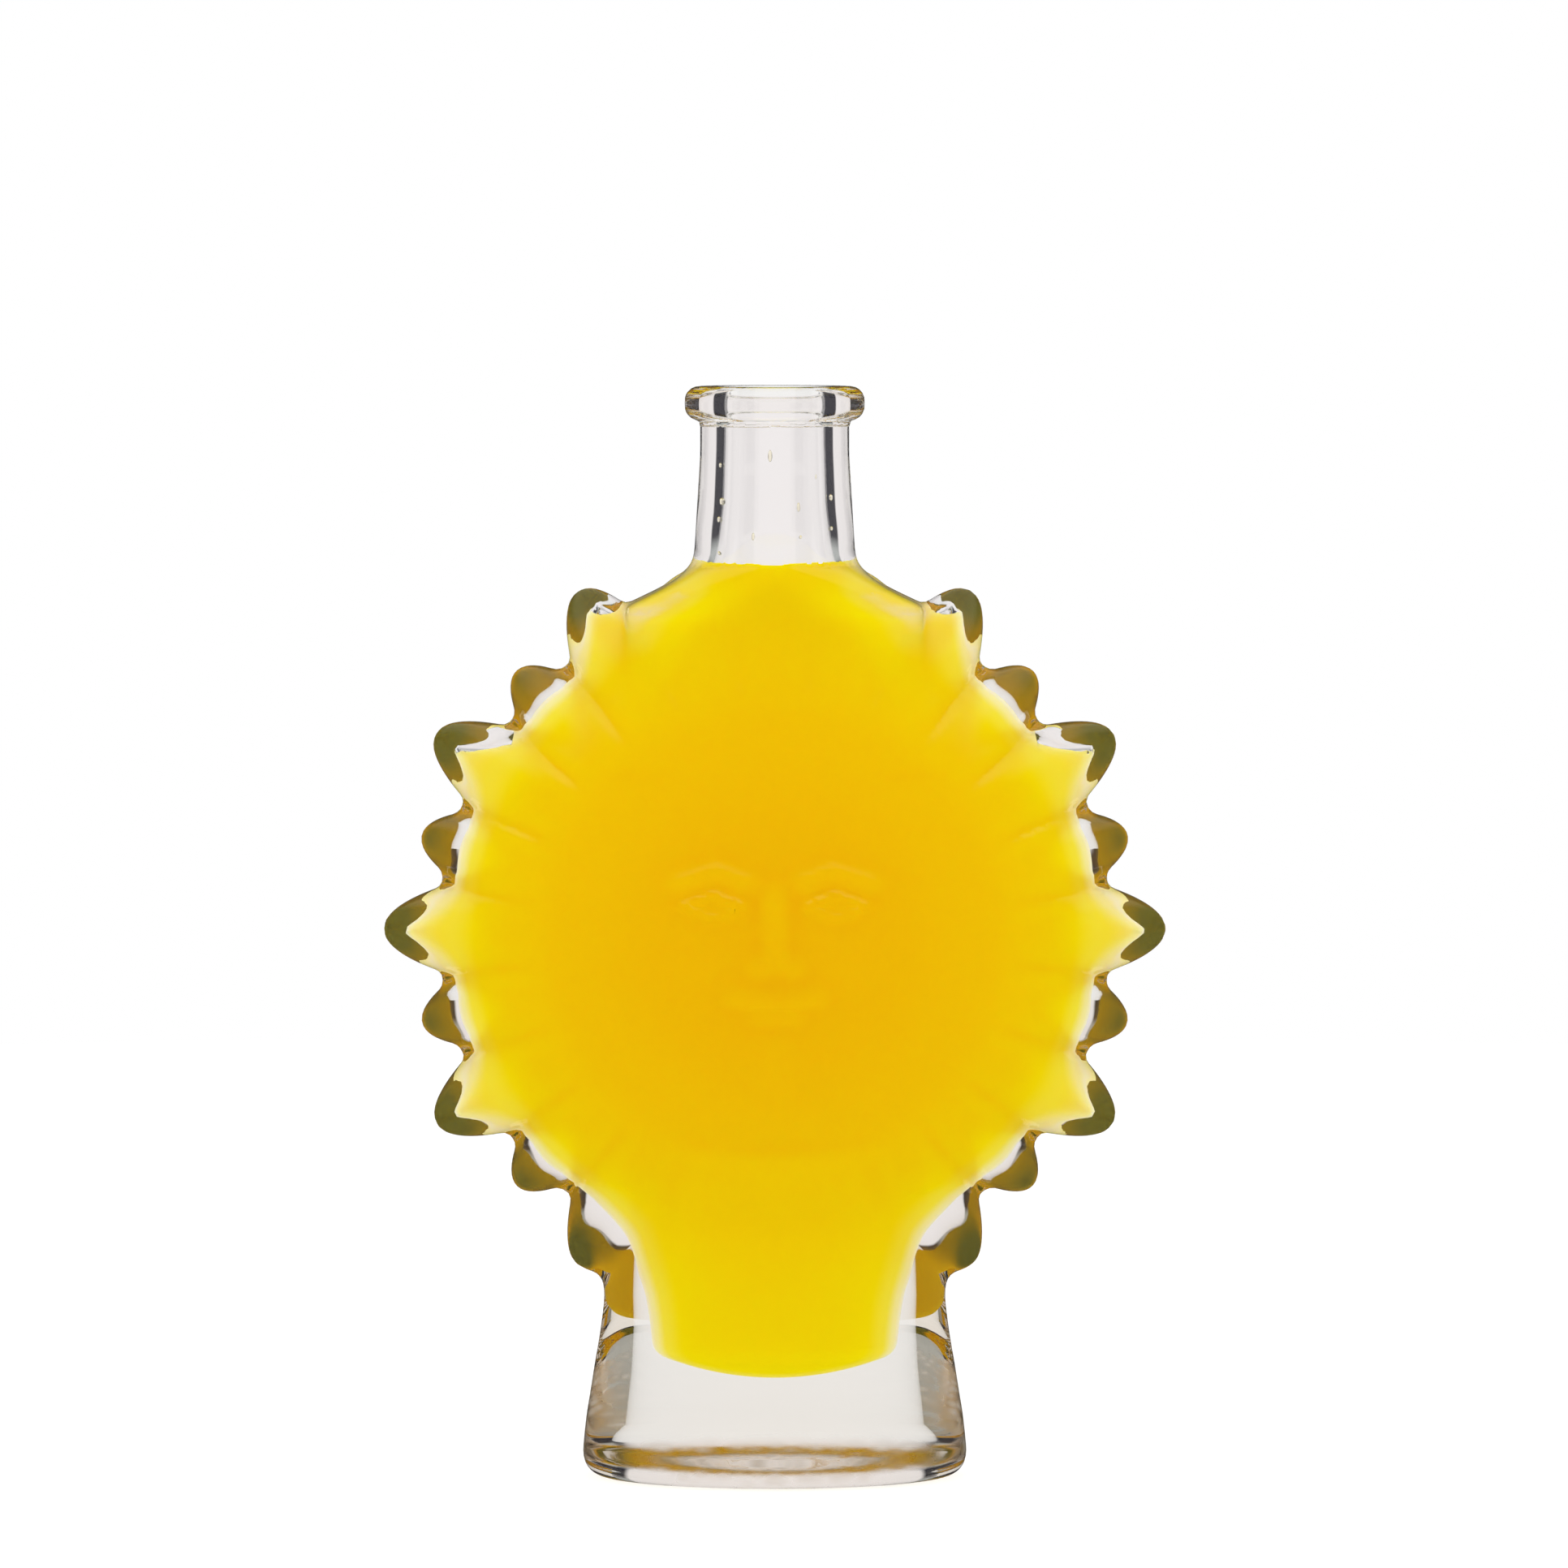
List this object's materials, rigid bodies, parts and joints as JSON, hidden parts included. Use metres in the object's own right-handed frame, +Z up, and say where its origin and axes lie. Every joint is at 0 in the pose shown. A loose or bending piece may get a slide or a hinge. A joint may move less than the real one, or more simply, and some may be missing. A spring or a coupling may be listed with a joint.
{
  "type": "sun-shaped glass bottle of yellow drink",
  "caption": "Flat sun-shaped clear glass flask with pointed rays round its rim, a round open neck, a thick oval foot and a bright yellow cloudy drink inside.",
  "frame": {"origin": "centre of the foot at the level it stands on", "axes": "+Z up through the neck, +X across the sun's face to the viewer's right, -Y towards the viewer in front of the face"},
  "size_m": [0.1222, 0.042, 0.1704],
  "materials": {
    "clear_glass": "smooth, clear, faintly warm in the thick base",
    "yellow_drink": "cloudy yellow liquid, opaque in the middle and paler where thin"
  },
  "bodies": {
    "root": {"bottle_glass": "clear_glass", "liquid_fill": "yellow_drink"}
  },
  "joints": []
}
